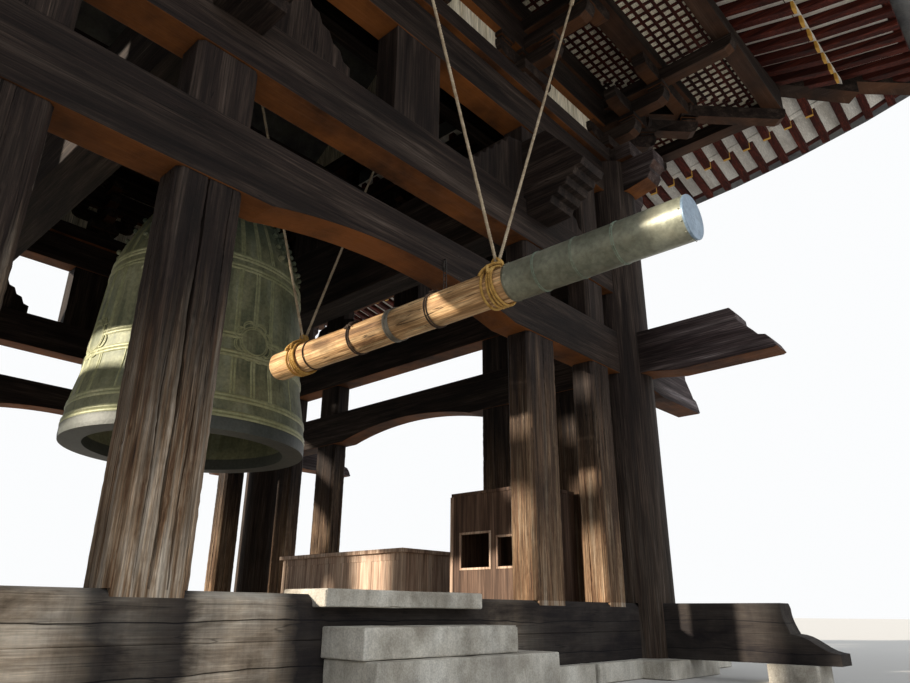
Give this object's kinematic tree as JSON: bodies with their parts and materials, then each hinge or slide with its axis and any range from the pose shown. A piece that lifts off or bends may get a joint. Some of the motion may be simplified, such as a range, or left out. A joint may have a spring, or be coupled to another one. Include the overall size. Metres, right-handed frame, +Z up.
{
  "type": "wooden bell tower",
  "caption": "Open timber bell tower with bracketed eaves, hip-and-gable tiled roof, great bronze bell and rope-hung striker log.",
  "frame": {"origin": "ground level under the middle of the square plan, where the footing stones stand", "axes": "+Z up; the steps and the striker log are at the front, which faces -Y; the roof ridge runs along X"},
  "size_m": [15.3696, 15.3696, 13.0004],
  "materials": {
    "bell_bronze": "matte",
    "board_timber": "satin",
    "dark_timber": "matte",
    "earth_fill": "matte",
    "granite": "matte",
    "iron": "matte",
    "red_timber": "matte",
    "roof_tiles": "matte",
    "rope": "matte",
    "sheath_copper": "satin",
    "striker_timber": "satin",
    "weathered_timber": "matte",
    "white_boards": "matte"
  },
  "bodies": {
    "frame": {"ground_floor": "earth_fill", "footing_stones": "granite", "stone_steps": "granite", "corner_columns": "dark_timber", "base_timbers": "weathered_timber", "sill_beams": "weathered_timber", "lower_ties": "dark_timber", "upper_ties": "dark_timber", "lower_posts": "weathered_timber", "middle_posts": "dark_timber", "upper_posts": "dark_timber", "centre_struts": "dark_timber", "wing_corbels": "dark_timber", "bell_girders": "dark_timber", "head_beams": "dark_timber", "wall_plates": "dark_timber", "middle_brackets": "dark_timber", "corner_brackets": "dark_timber", "lower_wall_boards": "white_boards", "wall_ties": "dark_timber", "upper_wall_boards": "white_boards", "lattice_ceilings": "red_timber", "step_purlins": "dark_timber", "outer_purlins": "dark_timber", "wall_top_beams": "dark_timber", "base_rafters": "red_timber", "flying_rafters": "red_timber", "hip_rafters": "dark_timber", "eave_boards": "white_boards", "eave_battens": "red_timber", "eave_fascia": "red_timber", "roof_frame": "dark_timber", "roof_skirt": "roof_tiles", "upper_roof": "roof_tiles", "gable_walls": "white_boards", "bargeboards": "dark_timber", "roof_ridges": "roof_tiles", "hip_ridges": "roof_tiles", "verge_ridges": "roof_tiles", "bell_saddles": "dark_timber", "bell_beam": "dark_timber", "bell_hanger": "iron", "bell": "bell_bronze", "rope_tie": "dark_timber", "rope_beam": "dark_timber", "rope_brackets": "iron", "counter": "board_timber", "booth": "board_timber"},
    "near_ropes": {"near_ropes": "rope"},
    "far_ropes": {"far_ropes": "rope"},
    "striker": {"striker": "striker_timber", "striker_sheath": "sheath_copper"}
  },
  "joints": [
    {"name": "near_swing", "type": "hinge", "parent": "frame", "child": "near_ropes", "pos_m": [0.2, -4.7, 7.24], "axis": [1, 0, 0], "range_deg": [-12, 6.8]},
    {"name": "far_swing", "type": "hinge", "parent": "frame", "child": "far_ropes", "pos_m": [0.2, -2.16, 7.24], "axis": [1, 0, 0], "range_deg": [-12.1, 6.9]},
    {"name": "striker_level", "type": "hinge", "parent": "near_ropes", "child": "striker", "pos_m": [0.2, -4.7, 3.213], "axis": [1, 0, 0], "range_deg": [-6.9, 12.1]}
  ],
  "couplings": [
    {"joint": "far_swing", "follows": "near_swing", "ratio": 1},
    {"joint": "striker_level", "follows": "near_swing", "ratio": -1}
  ]
}
